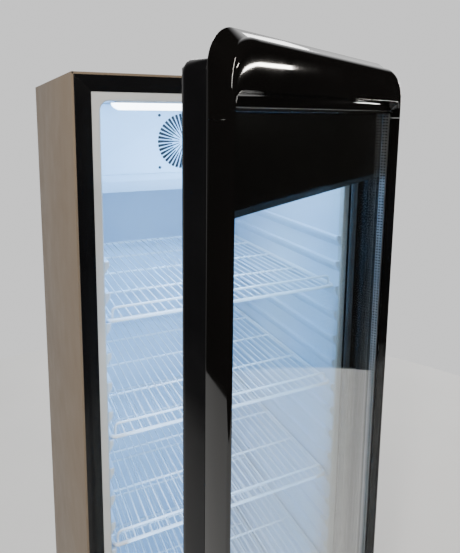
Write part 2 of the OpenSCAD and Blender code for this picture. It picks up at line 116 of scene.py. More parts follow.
def surface(name, first, second, patch, rough, grain, bump, depth=0.05, metallic=0.0, coat=0.0, specular=0.5):
    """Patches of two near colours, uneven gloss and a fine grain.

    patch and grain are scales per metre, rough is the range of the roughness, and bump and depth are the
    grain's strength and its depth in millimetres.
    """
    material, tree, shader, coords = new_material(name)
    patches = blend_colours(tree, noise(tree, coords, patch, 4), first, second)
    tree.links.new(patches, shader.inputs["Base Color"])
    smears = spread(tree, noise(tree, coords, patch * SMEARS_PER_PATCH, 5), *rough)
    tree.links.new(smears, shader.inputs["Roughness"])
    relief = tree.nodes.new("ShaderNodeBump")
    relief.inputs["Strength"].default_value = bump
    relief.inputs["Distance"].default_value = depth * MM
    tree.links.new(noise(tree, coords, grain, 2), relief.inputs["Height"])
    tree.links.new(relief.outputs["Normal"], shader.inputs["Normal"])
    shader.inputs["Metallic"].default_value = metallic
    shader.inputs["Coat Weight"].default_value = coat
    shader.inputs["Specular IOR Level"].default_value = specular
    return material


def zinc_material():
    """Galvanised sheet with its spangle."""
    material, tree, shader, coords = new_material("zinc_spangle")
    cells = tree.nodes.new("ShaderNodeTexVoronoi")
    cells.inputs["Scale"].default_value = SPANGLE_SCALE
    tree.links.new(coords, cells.inputs["Vector"])
    shade = tree.nodes.new("ShaderNodeSeparateColor")
    tree.links.new(cells.outputs["Color"], shade.inputs["Color"])
    greys = blend_colours(tree, shade.outputs[0], (0.42, 0.43, 0.44), (0.6, 0.61, 0.63), 0, 1)
    tree.links.new(greys, shader.inputs["Base Color"])
    tree.links.new(spread(tree, shade.outputs[1], 0.32, 0.5), shader.inputs["Roughness"])
    shader.inputs["Metallic"].default_value = 0.9
    return material


def glass_material():
    """A clear pane: it mirrors a little by its angle, and lets the rest through with a faint tint."""
    material, tree, shader, coords = new_material("pane_glass")
    tree.nodes.remove(shader)
    facing = tree.nodes.new("ShaderNodeLayerWeight")
    steep = tree.nodes.new("ShaderNodeMath")
    steep.operation = "POWER"
    steep.inputs[1].default_value = GLANCE_POWER
    tree.links.new(facing.outputs["Facing"], steep.inputs[0])
    mirror = tree.nodes.new("ShaderNodeMath")
    mirror.operation = "MULTIPLY_ADD"
    mirror.inputs[1].default_value = 1 - HEAD_ON
    mirror.inputs[2].default_value = HEAD_ON
    tree.links.new(steep.outputs[0], mirror.inputs[0])
    clear = tree.nodes.new("ShaderNodeBsdfTransparent")
    gloss = tree.nodes.new("ShaderNodeBsdfGlossy")
    smear = noise(tree, coords, 9, 4)
    tint = blend_colours(tree, smear, (0.965, 0.985, 0.98), (0.985, 0.995, 0.995))
    tree.links.new(tint, clear.inputs["Color"])
    tree.links.new(spread(tree, smear, 0.0, 0.03), gloss.inputs["Roughness"])
    mix = tree.nodes.new("ShaderNodeMixShader")
    tree.links.new(mirror.outputs[0], mix.inputs[0])
    tree.links.new(clear.outputs[0], mix.inputs[1])
    tree.links.new(gloss.outputs[0], mix.inputs[2])
    tree.links.new(mix.outputs[0], tree.nodes["Material Output"].inputs["Surface"])
    return material


def lamp_material():
    """The lit face of the lamp, a little uneven along its length."""
    material, tree, shader, coords = new_material("lamp_glow")
    glow = blend_colours(tree, noise(tree, coords, 14), (0.80, 0.90, 1.0), (0.92, 0.97, 1.0))
    tree.links.new(glow, shader.inputs["Emission Color"])
    shader.inputs["Emission Strength"].default_value = 9.0
    shader.inputs["Base Color"].default_value = (0.9, 0.93, 0.95, 1)
    shader.inputs["Roughness"].default_value = 0.4
    return material


# Each row gives two colours, the scale of their patches, the roughness, and the grain's scale and strength.
M = {
    # Painted light: the casing's paint is white, and its beige colour is the warm light that falls on it.
    "casing": surface("casing_paint", (0.190, 0.142, 0.097), (0.204, 0.154, 0.106),
            3, (0.55, 0.66), 900, 0.25, depth=0.06, specular=0.3),
    "zinc": zinc_material(),
    "plinth": surface("plinth_paint", (0.012, 0.012, 0.013), (0.02, 0.02, 0.021), 8, (0.4, 0.55), 900, 0.25),
    "frame": surface("frame_black", (0.0035, 0.0035, 0.004), (0.006, 0.006, 0.0065),
            5, (0.16, 0.24), 700, 0.05, specular=0.3),
    "gloss": surface("header_gloss", (0.003, 0.0028, 0.0026), (0.0045, 0.004, 0.0038),
            4, (0.035, 0.07), 60, 0.02, depth=0.03, coat=0.4),
    # Painted light: the liner is white plastic, and its pale blue is the lamp's blue light painted into its
    # colour.
    "liner": surface("liner_white", (0.64, 0.74, 0.85), (0.68, 0.78, 0.88), 4, (0.32, 0.42), 350, 0.12),
    "rim": surface("rim_grey", (0.56, 0.56, 0.54), (0.61, 0.61, 0.59), 7, (0.34, 0.44), 500, 0.1),
    # Painted light: the cover is white, and its pale blue is the lamp's blue light painted into its colour.
    "cover": surface("cover_painted_lamp_blue", (0.64, 0.75, 0.86), (0.68, 0.79, 0.89), 5, (0.36, 0.46), 900, 0.2),
    "wire": surface("wire_coating", (0.80, 0.83, 0.86), (0.87, 0.89, 0.91), 25, (0.26, 0.38), 700, 0.2),
    "foam": surface("foam_cells", (0.62, 0.52, 0.28), (0.70, 0.60, 0.36),
            20, (0.8, 0.95), 700, 0.8, depth=0.4),
    "fins": surface("fin_aluminium", (0.55, 0.56, 0.58), (0.66, 0.67, 0.69),
            30, (0.3, 0.45), 900, 0.1, metallic=0.9),
    "dark": surface("dark_plastic", (0.012, 0.012, 0.012), (0.02, 0.02, 0.021), 12, (0.42, 0.58), 1200, 0.35),
    "screw": surface("screw_black", (0.015, 0.015, 0.016), (0.03, 0.03, 0.032),
            60, (0.3, 0.45), 900, 0.2, metallic=0.6),
    "copper": surface("drier_copper", (0.55, 0.24, 0.13), (0.66, 0.32, 0.19),
            18, (0.22, 0.4), 600, 0.2, metallic=0.95),
    "box": surface("box_plastic", (0.60, 0.60, 0.57), (0.66, 0.66, 0.63), 10, (0.45, 0.6), 1100, 0.3),
    "switch": surface("switch_green", (0.01, 0.20, 0.035), (0.02, 0.27, 0.05), 60, (0.15, 0.25), 600, 0.05),
    "steel": surface("foot_steel", (0.40, 0.40, 0.41), (0.52, 0.52, 0.53),
            40, (0.28, 0.42), 900, 0.2, metallic=0.95),
    "nylon": surface("bush_nylon", (0.66, 0.62, 0.52), (0.72, 0.68, 0.58), 40, (0.4, 0.5), 900, 0.1),
    "gasket": surface("gasket_rubber", (0.05, 0.05, 0.052), (0.08, 0.08, 0.083), 15, (0.5, 0.65), 800, 0.3),
    "spacer": surface("spacer_aluminium", (0.62, 0.62, 0.62), (0.72, 0.72, 0.72),
            30, (0.3, 0.42), 900, 0.15, metallic=0.9),
    "mark": surface("mark_white", (0.75, 0.75, 0.74), (0.82, 0.82, 0.81), 60, (0.4, 0.5), 900, 0.05),
    "band": surface("band_print", (0.004, 0.0036, 0.0034), (0.007, 0.006, 0.0055), 3, (0.1, 0.16), 300, 0.02),
    # Painted light: a bluish strip that stands for the interior's light showing through the printed band's
    # edge.
    "painted_glow": surface("painted_glow_strip", (0.02, 0.03, 0.042), (0.026, 0.038, 0.052),
            6, (0.12, 0.2), 300, 0.02),
    "glass": glass_material(),
    "lamp": lamp_material(),
}

# ---- Mesh tools ----

SQUARE = (0, 0, 0, 0)
WELD, DEGENERATE = 1e-6, 1e-7
# A clearance that keeps two faces out of one plane.
HAIR = 0.05 * MM


def piece(name, bm, material, body, replaces=(), smooth=32):
    """Turns a bmesh into a piece that rides on a body. Door pieces are drawn closed and turned here."""
    if body == "door":
        bmesh.ops.transform(bm, matrix=TURN, verts=bm.verts)
    bmesh.ops.remove_doubles(bm, verts=bm.verts, dist=WELD)
    bmesh.ops.dissolve_degenerate(bm, edges=bm.edges, dist=DEGENERATE)
    bmesh.ops.recalc_face_normals(bm, faces=bm.faces)
    mesh = bpy.data.meshes.new(name)
    bm.to_mesh(mesh)
    bm.free()
    mesh.shade_smooth()
    mesh.set_sharp_from_angle(angle=math.radians(smooth))
    mesh.materials.append(M[material])
    made = bpy.data.objects.new(name, mesh)
    bpy.context.scene.collection.objects.link(made)
    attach(made, body)
    if replaces:
        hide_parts(*replaces)


def skin(bm, rows, around=True, loop=False, ends=False):
    """Faces between rows of points. around closes each row, loop joins the last row to the first."""
    lines = [[bm.verts.new(p) for p in row] for row in rows]
    width = len(lines[0])
    for i in range(len(lines) - (0 if loop else 1)):
        here, there = lines[i], lines[(i + 1) % len(lines)]
        for j in range(width - (0 if around else 1)):
            k = (j + 1) % width
            bm.faces.new((here[j], here[k], there[k], there[j]))
    if ends:
        bm.faces.new(lines[0])
        bm.faces.new(lines[-1])


def rectangle(x0, x1, y0, y1):
    """An outline with square corners."""
    return [(x0, y0), (x1, y0), (x1, y1), (x0, y1)]


def round_loop(x0, x1, z0, z1, radii, steps=8):
    """A rectangle with round corners. radii go bottom left, bottom right, top right, top left."""
    corners = [(x0, z0, 1, 1, 180), (x1, z0, -1, 1, 270), (x1, z1, -1, -1, 0), (x0, z1, 1, -1, 90)]
    points = []
    for (x, z, inward_x, inward_z, start), r in zip(corners, radii):
        for step in range(steps + 1):
            a = math.radians(start + 90 * step / steps)
            points.append((x + inward_x * r + r * math.cos(a), z + inward_z * r + r * math.sin(a)))
    return points


def ring(bm, sections):
    """A frame round the door or the opening. A section is y, x0, x1, z0, z1 and the four corner radii."""
    rows = []
    for y, x0, x1, z0, z1, radii in sections:
        rows.append([(x, y, z) for x, z in round_loop(x0, x1, z0, z1, radii)])
    skin(bm, rows, loop=True)


def place(axis, p, q, t):
    """A point with p and q across an axis and t along it."""
    return {"X": (t, p, q), "Y": (p, t, q), "Z": (p, q, t)}[axis]


def prism(bm, outline, axis, low, high, bevel=0.0, segments=2):
    """An outline pushed along an axis, with its edges rounded."""
    part = bmesh.new()
    skin(part, [[place(axis, p, q, t) for p, q in outline] for t in (low, high)], ends=True)
    bmesh.ops.recalc_face_normals(part, faces=part.faces)
    if bevel:
        bmesh.ops.bevel(part, geom=part.edges, offset=bevel, segments=segments, profile=0.5, affect="EDGES")
    merge(bm, part)


def merge(bm, part, matrix=None):
    """Adds a part to a bmesh."""
    if matrix:
        bmesh.ops.transform(part, matrix=matrix, verts=part.verts)
    mesh = bpy.data.meshes.new("part")
    part.to_mesh(mesh)
    part.free()
    bm.from_mesh(mesh)
    bpy.data.meshes.remove(mesh)


def block(bm, low, high, bevel=0.0, segments=2):
    """A box with rounded edges."""
    prism(bm, rectangle(low[0], high[0], low[1], high[1]), "Z", low[2], high[2], bevel, segments)


def tube(bm, path, r, sides, closed=False):
    """A round wire along a path of points."""
    path = [Vector(p) for p in path]
    count = len(path)
    rows, side = [], None
    for i, point in enumerate(path):
        before = path[(i - 1) % count] if closed or i else point
        after = path[(i + 1) % count] if closed or i < count - 1 else point
        along = (after - before).normalized()
        if side is None:
            side = along.orthogonal().normalized()
        side = (side - along * side.dot(along)).normalized()
        up = along.cross(side)
        rows.append([point + r * (math.cos(a) * side + math.sin(a) * up)
                     for a in (2 * math.pi * k / sides for k in range(sides))])
    skin(bm, rows, loop=closed, ends=not closed)


def lathe(bm, profile, origin, axis, steps, flute=0.0, flutes=0):
    """A turned shape. profile is (radius, distance along the axis), and flute deepens waves round the rim."""
    rows = []
    for r, h in profile:
        row = []
        for k in range(steps):
            a = 2 * math.pi * k / steps
            reach = r * (1 - flute * (0.5 + 0.5 * math.cos(flutes * a))) if flutes else r
            row.append(Vector(origin) + Vector(place(axis, reach * math.cos(a), reach * math.sin(a), h)))
        rows.append(row)
    skin(bm, rows, ends=True)


def stencil(bm, low, high, holes, bevel):
    """An upright plate that fills a box, with holes. Their outlines are points (x, z)."""
    curve = bpy.data.curves.new("stencil", "CURVE")
    curve.dimensions = "2D"
    curve.fill_mode = "BOTH"
    curve.extrude = (high.y - low.y) / 2 - bevel
    curve.bevel_depth = bevel
    curve.bevel_resolution = 1
    curve.offset = -bevel
    for points in [rectangle(low.x, high.x, low.z, high.z), *holes]:
        spline = curve.splines.new("POLY")
        spline.points.add(len(points) - 1)
        for target, (x, z) in zip(spline.points, points):
            target.co = (x, z, 0, 1)
        spline.use_cyclic_u = True
    holder = bpy.data.objects.new("stencil", curve)
    bpy.context.scene.collection.objects.link(holder)
    mesh = bpy.data.meshes.new_from_object(holder.evaluated_get(bpy.context.evaluated_depsgraph_get()))
    mesh.transform(Matrix.Translation((0, (low.y + high.y) / 2, 0)) @ Matrix.Rotation(math.pi / 2, 4, "X"))
    bm.from_mesh(mesh)
    bpy.data.meshes.remove(mesh)
    bpy.data.objects.remove(holder)
    bpy.data.curves.remove(curve)


def circle(x, z, r, steps=24):
    """A round outline as points (x, z)."""
    return [(x + r * math.cos(2 * math.pi * k / steps), z + r * math.sin(2 * math.pi * k / steps))
            for k in range(steps)]


def slot_outline(x0, x1, z0, height):
    """A long slot with round ends."""
    return round_loop(x0, x1, z0, z0 + height, (height / 2,) * 4, 5)


def in_mm(pairs):
    """Pairs given in millimetres, as metres."""
    return [(first * MM, second * MM) for first, second in pairs]


def paint(material, *nodes):
    """Gives carried-over CAD nodes their material."""
    for node in nodes:
        NODES[node].data.materials.clear()
        NODES[node].data.materials.append(M[material])


# ---- Casing ----

SHEET, FOLD_R = 1 * MM, 0.35 * MM
low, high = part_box("right_side_panel")
EDGE = high.x - low.x
HALF, FRONT, BACK, TOP = high.x, low.y, high.y, high.z
SIDE_TOP = TOP - 0.2 * MM
for side, word in ((-1, "left"), (1, "right")):
    bm = bmesh.new()
    outline = [(HALF, BACK), (HALF - SHEET, BACK), (HALF - SHEET, FRONT + SHEET),
               (HALF - EDGE, FRONT + SHEET), (HALF - EDGE, FRONT), (HALF, FRONT)]
    prism(bm, [(side * x, y) for x, y in outline], "Z", low.z, SIDE_TOP, FOLD_R, 3)
    piece(f"casing_{word}", bm, "casing", "cabinet", [f"{word}_side_panel"])
bm = bmesh.new()
outline = [(BACK, TOP), (BACK, TOP - SHEET), (FRONT + SHEET, TOP - SHEET), (FRONT + SHEET, TOP - EDGE),
           (FRONT, TOP - EDGE), (FRONT, TOP)]
prism(bm, outline, "X", -HALF + SHEET, HALF - SHEET, FOLD_R, 3)
piece("casing_top", bm, "casing", "cabinet", ["top_panel"])

# The back sheet has three pressed panels, which keep it from drumming, and screws along its sides.
low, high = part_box("back_panel")
PRESSES, PRESS_R, PRESS_GAP = 3, 22 * MM, 45 * MM
PRESS_PITCH = (high.z - low.z - PRESS_GAP) / PRESSES
# Distance in from a pressed panel's outline and depth there, in millimetres.
PRESS_SHAPE = ((-0.3, 0.1), (0.4, 0.14), (1.4, 0.3), (4, 0.62), (5, 0.7))
SCREW_ROWS, SCREW_END, SCREW_SIDE, SCREW_PROUD = 7, 30 * MM, 12 * MM, 0.8 * MM


def press_loop(level, inset=0.0):
    """The outline of one pressed panel of the back sheet, drawn in by inset."""
    foot = low.z + PRESS_GAP + level * PRESS_PITCH
    head = low.z + (level + 1) * PRESS_PITCH
    return round_loop(low.x + PRESS_GAP + inset, high.x - PRESS_GAP - inset, foot + inset, head - inset,
                      (PRESS_R - inset,) * 4)


bm = bmesh.new()
stencil(bm, low, high, [press_loop(level) for level in range(PRESSES)], 0.2 * MM)
for level in range(PRESSES):
    rows = []
    for inset, depth in PRESS_SHAPE:
        rows.append([(x, high.y - depth * MM, z) for x, z in press_loop(level, inset * MM)])
    skin(bm, rows)
    bm.faces.new([bm.verts.new(point) for point in rows[-1]])
screw_heads = bmesh.new()
for side in (-1, 1):
    for level in range(SCREW_ROWS):
        z = low.z + SCREW_END + level * (high.z - low.z - 2 * SCREW_END) / (SCREW_ROWS - 1)
        lathe(screw_heads, [(3.2 * MM, -1.2 * MM), (3.2 * MM, -0.4 * MM), (2.4 * MM, 0), (0.8 * MM, 0)],
              (side * (HALF - SCREW_SIDE), high.y + SCREW_PROUD, z), "Y", 16)
piece("back_sheet", bm, "zinc", "cabinet", ["back_panel"])
piece("back_screws", screw_heads, "steel", "cabinet")

# ---- Black front frame and white rim ----

MITRE_GAP, FRAME_EDGE = 0.12 * MM, 0.7 * MM
for word in ("top", "bottom", "left", "right"):
    low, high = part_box(f"front_frame_{word}")
    if word in ("top", "bottom"):
        width = high.z - low.z
        outer, inner = (high.z, low.z) if word == "top" else (low.z, high.z)
        outline = [(low.x, outer), (high.x, outer), (high.x - width, inner), (low.x + width, inner)]
    else:
        width = high.x - low.x
        outer, inner = (low.x, high.x) if word == "left" else (high.x, low.x)
        outline = [(outer, low.z + MITRE_GAP), (outer, high.z - MITRE_GAP),
                   (inner, high.z - width - MITRE_GAP), (inner, low.z + width + MITRE_GAP)]
    bm = bmesh.new()
    prism(bm, outline, "Y", low.y, high.y, FRAME_EDGE, 3)
    piece(f"frame_{word}", bm, "frame", "cabinet", [f"front_frame_{word}"])

wall_low, wall_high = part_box("liner_left")
OPEN_X, OPEN_LOW, OPEN_HIGH = -wall_high.x, wall_low.z, wall_high.z
RIM_R, RIM_WALL, RIM_EDGE, RETURN_DEEP = 16 * MM, 0.8 * MM, 0.5 * MM, 9 * MM
# Distance out from the opening and back from the rim's face, in millimetres.
RIM_LIP = ((2.2, 0), (1.2, 0.25), (0.4, 0.9), (-0.3, 2))
# The return stands proud of the liner's walls, since two faces in one plane would show as patches.
TRIM = 0.3 * MM


def opening(y, out, r):
    """A section of the rim that follows the opening, drawn outwards by out."""
    return (y, -OPEN_X - out, OPEN_X + out, OPEN_LOW - out, OPEN_HIGH + out, (r,) * 4)


low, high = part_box("liner_rim")
sections = [(high.y, low.x, high.x, low.z, high.z, SQUARE),
            (low.y + 0.4 * MM, low.x, high.x, low.z, high.z, SQUARE),
            (low.y, low.x + RIM_EDGE, high.x - RIM_EDGE, low.z + RIM_EDGE, high.z - RIM_EDGE, SQUARE)]
for out, back in RIM_LIP:
    sections.append(opening(low.y + back * MM, out * MM, RIM_R + out * MM))
sections.append(opening(high.y + RETURN_DEEP, -TRIM, RIM_R))
sections.append(opening(high.y + RETURN_DEEP, RIM_WALL, RIM_R))
sections.append(opening(high.y, RIM_WALL, RIM_R))
bm = bmesh.new()
ring(bm, sections)
piece("rim", bm, "rim", "cabinet", ["liner_rim"])

# ---- Inside ----

paint("liner", "liner_left", "liner_right", "liner_ceiling", "liner_back", "liner_floor")
paint("foam", "foam_left", "foam_right", "foam_top", "foam_back", "foam_floor")

low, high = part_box("shelf_ledges")
LEDGE_PITCH, LEDGE_DEEP, LEDGE_NOSE = 57 * MM, 22 * MM, 6 * MM
LEDGES = round((high.z - low.z - LEDGE_DEEP) / LEDGE_PITCH) + 1
# Distance from the front, reach from the wall, and height of the stop at the front end, in millimetres.
LEDGE_RUN = ((-5.4, 3, -4), (-5.0, 8.6, 2.4), (-3.6, 10.2, 3.4), (-1.6, 10.6, 3.2), (-0.5, 10.8, 0.2),
             (6, 11, 0), (60, 10.4, 0), (220, 9, 0), (440, 8, 0), (570, 7.6, 0))
# A thin sheet on the wall joins them: how far it stands proud, is sunk, leads and hangs below.
SHEET_PROUD, SHEET_SUNK, SHEET_LEAD, SHEET_HANG = 0.7 * MM, 0.1 * MM, 5 * MM, 30 * MM
bm = bmesh.new()
for side in (-1, 1):
    for level in range(LEDGES):
        top = high.z - level * LEDGE_PITCH
        rows = []
        for run, reach, lift in LEDGE_RUN:
            y, r, z = low.y + run * MM, reach * MM, top + lift * MM
            tip = OPEN_X - r
            section = [(OPEN_X, z + 0.6 * MM), (OPEN_X - r * 0.5, z + 0.15 * MM), (tip + 1.2 * MM, z),
                       (tip + 0.3 * MM, z - 0.5 * MM), (tip, z - 1.6 * MM), (tip, top - LEDGE_NOSE),
                       (OPEN_X - r * 0.55, top - 0.62 * LEDGE_DEEP), (OPEN_X, top - LEDGE_DEEP)]
            rows.append([(side * x, y, height) for x, height in section])
        skin(bm, rows, ends=True)
    x0, x1 = sorted((side * (OPEN_X - SHEET_PROUD), side * (OPEN_X + SHEET_SUNK)))
    block(bm, (x0, low.y - SHEET_LEAD, low.z - SHEET_HANG), (x1, high.y, high.z - LEDGE_PITCH), 0.3 * MM)
piece("ledges", bm, "liner", "cabinet", ["shelf_ledges"])

# The evaporator's cover has a round grille of long and short slots, with a raised ring about it.
low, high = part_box("evaporator_cover")
fan_low, fan_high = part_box("evaporator_fan_blade")
FAN_X = (fan_low.x + fan_high.x) / 2
FAN_Z = JOINTS["evaporator_fan_spin"]["pos_m"][2]
SLOTS, SLOT_HALF, SLOT_NOSE, GRILLE_R = 40, 3.6 * MM, 0.8 * MM, 65 * MM
RING_R, RING_WIRE = GRILLE_R + 6 * MM, 0.9 * MM
HEM_HIGH, HEM_DEEP = 3 * MM, 12 * MM
# Where a long and a short slot start, from the grille's middle, and half their width there, in millimetres.
SLOT_STARTS = in_mm(((12, 0.7), (30, 1.2)))
slots = []
for index in range(SLOTS):
    a = 2 * math.pi * index / SLOTS
    start, tip = SLOT_STARTS[index % 2]
    corners = [(start, -tip), (GRILLE_R, -SLOT_HALF), (GRILLE_R + SLOT_NOSE, 0), (GRILLE_R, SLOT_HALF),
               (start, tip)]
    slots.append([(FAN_X + r * math.cos(a) - s * math.sin(a), FAN_Z + r * math.sin(a) + s * math.cos(a))
                  for r, s in corners])
bm = bmesh.new()
stencil(bm, low, high, slots, 0.3 * MM)
raised = [(x, low.y + 0.5 * MM, z) for x, z in circle(FAN_X, FAN_Z, RING_R, 72)]
tube(bm, raised, RING_WIRE, 8, closed=True)
block(bm, (low.x, low.y, low.z - HEM_HIGH), (high.x, low.y + HEM_DEEP, low.z + 0.2 * MM), 1.2 * MM, 3)
piece("cover_grille", bm, "cover", "cabinet", ["evaporator_cover"])

# Radius of the dark duct behind the grille and distance behind the cover, in millimetres.
DUCT = ((67, 0.1), (69, 0.1), (69, 40), (67, 46), (20, 46), (20, 45), (66, 45), (67, 40))
rows = [[(x, high.y + back * MM, z) for x, z in circle(FAN_X, FAN_Z, r * MM, 48)] for r, back in DUCT]
bm = bmesh.new()
skin(bm, rows, loop=True)
piece("fan_duct", bm, "dark", "cabinet")

# The drip pan's front drops almost straight to a knee and then slopes back to the floor.
low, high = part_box("evaporator_pan")
PAN_WALL, PAN_LEAN, PAN_SLOPE, PAN_TUCK = 1.6 * MM, 3 * MM, 16 * MM, 1 * MM
knee, back_top = low.z + 27 * MM, low.z + 20 * MM
outline = [(low.y, high.z), (low.y + PAN_LEAN, knee), (low.y + PAN_SLOPE, low.z), (high.y, low.z),
           (high.y, back_top), (high.y - PAN_WALL, back_top), (high.y - PAN_WALL, low.z + PAN_WALL),
           (low.y + PAN_SLOPE + PAN_TUCK, low.z + PAN_WALL),
           (low.y + PAN_LEAN + PAN_WALL, knee + 0.5 * MM), (low.y + PAN_WALL, high.z)]
side_wall = [(low.y + PAN_WALL, high.z), (low.y + PAN_LEAN + PAN_WALL, knee),
             (low.y + PAN_SLOPE + PAN_TUCK, low.z + PAN_TUCK), (high.y - PAN_TUCK, low.z + PAN_TUCK),
             (high.y - PAN_TUCK, back_top)]
bm = bmesh.new()
prism(bm, outline, "X", low.x, high.x, 0.4 * MM)
for x in (low.x, high.x - PAN_WALL):
    prism(bm, side_wall, "X", x + HAIR, x + PAN_WALL - HAIR)
piece("drip_pan", bm, "cover", "cabinet", ["evaporator_pan"])

# A pan-head screw: shank, head and the start of its recess, as radius and depth behind the head's top.
low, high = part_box("cover_screws")
SCREW_R, SHANK_R = 3.6 * MM, 1.9 * MM
SCREW = [(SHANK_R, 11 * MM), (SHANK_R, 1.6 * MM), (SCREW_R, 1.5 * MM), (SCREW_R * 0.96, 0.8 * MM),
         (SCREW_R * 0.7, 0.2 * MM), (1.4 * MM, 0), (1.2 * MM, 0.9 * MM)]
bm = bmesh.new()
for x in (low.x + SCREW_R, high.x - SCREW_R):
    for z in (low.z + SCREW_R, high.z - SCREW_R):
        lathe(bm, SCREW, (x, low.y, z), "Y", 20)
piece("cover_screw_heads", bm, "screw", "cabinet", ["cover_screws"])
paint("fins", "evaporator_coil", "condenser")
paint("dark", "evaporator_fan_motor", "condenser_fan_motor", "cord_gland")
paint("copper", "filter_drier")

# The lamp's cover: distance in from either side, and the height there.
low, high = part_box("lamp_diffuser")
shoulder = [(0, high.z), (1.5 * MM, high.z - 4 * MM), (5 * MM, high.z - 8 * MM), (13 * MM, low.z)]
left = [(low.x + inset, z) for inset, z in shoulder]
right = [(high.x - inset, z) for inset, z in reversed(shoulder)]
bm = bmesh.new()
prism(bm, left + right, "Y", low.y, high.y, 1.6 * MM, 3)
piece("lamp_face", bm, "lamp", "cabinet", ["lamp_diffuser"])
paint("liner", "lamp_housing")

# ---- Shelves ----

SHELVES, SHELF_CORNER = 5, 11 * MM
RIM_WIRE, CROSS_WIRE, DECK_WIRE, RAIL_WIRE = 3.5 * MM, 2.6 * MM, 1.5 * MM, 2.5 * MM
CROSS_PITCH, DECK_PITCH = 130 * MM, 17 * MM
# Over the rim wire's middle: the deck wires' middle, and the top of the shelf as packed.
DECK_LIFT, DECK_TOP = 2.3 * MM, 3.686 * MM
RAIL_HIGH = 20 * MM


def bent(points, r, steps):
    """A path with its inner corners rounded."""
    points = [Vector(p) for p in points]
    path = [points[0]]
    for before, corner, after in zip(points, points[1:], points[2:]):
        start = corner + (before - corner).normalized() * r
        end = corner + (after - corner).normalized() * r
        for k in range(steps + 1):
            t = k / steps
            path.append(start.lerp(corner, t).lerp(corner.lerp(end, t), t))
    return path + [points[-1]]


rails = bmesh.new()
rail_low, rail_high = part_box("shelf_front_rails")
for number in range(1, SHELVES + 1):
    low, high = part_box(f"shelf_{number}")
    x, y0, y1, z = high.x - RIM_WIRE, low.y + RIM_WIRE, high.y - RIM_WIRE, high.z - DECK_TOP
    bm = bmesh.new()
    rim = [(px, py, z) for px, py in round_loop(-x, x, y0, y1, (SHELF_CORNER,) * 4, 6)]
    tube(bm, rim, RIM_WIRE, 14, closed=True)
    middle = (y0 + y1) / 2
    for y in (middle - CROSS_PITCH, middle, middle + CROSS_PITCH):
        tube(bm, [(-x, y, z), (x, y, z)], CROSS_WIRE, 12)
    nose, deck = y0 - 2.2 * MM, z + DECK_LIFT
    reach = math.floor((x - 6 * MM) / DECK_PITCH)
    for i in range(-reach, reach + 1):
        px = i * DECK_PITCH
        tube(bm, bent([(px, y1, deck), (px, nose, deck), (px, nose, z - 2 * MM)], 2.5 * MM, 4), DECK_WIRE, 8)
    piece(f"shelf_{number}_wires", bm, "wire", "cabinet", [f"shelf_{number}"])
    post, y = reach * DECK_PITCH, (rail_low.y + rail_high.y) / 2
    foot, top = z + 2 * MM, high.z + RAIL_HIGH - RAIL_WIRE
    corners = [(-post, y, foot), (-post, y, top), (post, y, top), (post, y, foot)]
    tube(rails, bent(corners, 9 * MM, 6), RAIL_WIRE, 12)
piece("shelf_rails", rails, "wire", "cabinet", ["shelf_front_rails"])

# ---- Machine compartment ----

low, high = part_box("kick_grille")
knob = JOINTS["thermostat_turn"]["pos_m"]
rocker = JOINTS["switch_rock"]["pos_m"]
LOUVRES, LOUVRE_PITCH, LOUVRE_HIGH, LOUVRE_REACH = 9, 17 * MM, 8 * MM, 11 * MM
GRILLE_X0, GRILLE_X1, GRILLE_Z0 = -250 * MM, 60 * MM, 88 * MM
KNOB_HOLE_R, SWITCH_HALF_X, SWITCH_HALF_Z = 4 * MM, 13 * MM, 8 * MM
levels = [GRILLE_Z0 + k * LOUVRE_PITCH for k in range(LOUVRES)]
holes = [slot_outline(GRILLE_X0, GRILLE_X1, z, LOUVRE_HIGH) for z in levels]
holes.append(circle(knob[0], knob[2], KNOB_HOLE_R))
holes.append(round_loop(rocker[0] - SWITCH_HALF_X, rocker[0] + SWITCH_HALF_X,
                        rocker[2] - SWITCH_HALF_Z, rocker[2] + SWITCH_HALF_Z, (1.5 * MM,) * 4, 3))
bm = bmesh.new()
stencil(bm, low, high, holes, 0.4 * MM)
for z in levels:
    louvre = [(high.y, z + LOUVRE_HIGH + 1 * MM), (high.y, z + LOUVRE_HIGH + 2.2 * MM),
              (high.y + LOUVRE_REACH, z - 0.8 * MM), (high.y + LOUVRE_REACH, z - 2 * MM)]
    prism(bm, louvre, "X", GRILLE_X0, GRILLE_X1, 0.3 * MM)
piece("kick_panel", bm, "plinth", "cabinet", ["kick_grille"])

low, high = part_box("rear_grille")
gland_low, gland_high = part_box("cord_gland")
REAR_X0, REAR_X1, REAR_Z0, REAR_SLOT, GLAND_HOLE_R = -200 * MM, 240 * MM, 90 * MM, 7 * MM, 9.05 * MM
holes = [slot_outline(REAR_X0, REAR_X1, REAR_Z0 + k * LOUVRE_PITCH, REAR_SLOT) for k in range(LOUVRES)]
holes.append(circle((gland_low.x + gland_high.x) / 2, (gland_low.z + gland_high.z) / 2, GLAND_HOLE_R, 32))
bm = bmesh.new()
stencil(bm, low, high, holes, 0.2 * MM)
piece("rear_panel", bm, "zinc", "cabinet", ["rear_grille"])

low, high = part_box("plinth_frame")
PLINTH_WALL, PLINTH_R, PLINTH_EDGE = 3 * MM, 5 * MM, 0.8 * MM
rows = []
for inset, z in ((0, low.z + PLINTH_EDGE), (PLINTH_EDGE, low.z), (PLINTH_WALL - PLINTH_EDGE, low.z),
                 (PLINTH_WALL, low.z + PLINTH_EDGE), (PLINTH_WALL, high.z), (0, high.z)):
    loop = round_loop(low.x + inset, high.x - inset, low.y + inset, high.y - inset,
                      (PLINTH_R - inset,) * 4, 4)
    rows.append([(x, y, z) for x, y in loop])
bm = bmesh.new()
skin(bm, rows, loop=True)
piece("plinth", bm, "plinth", "cabinet", ["plinth_frame"])
paint("zinc", "base_pan")

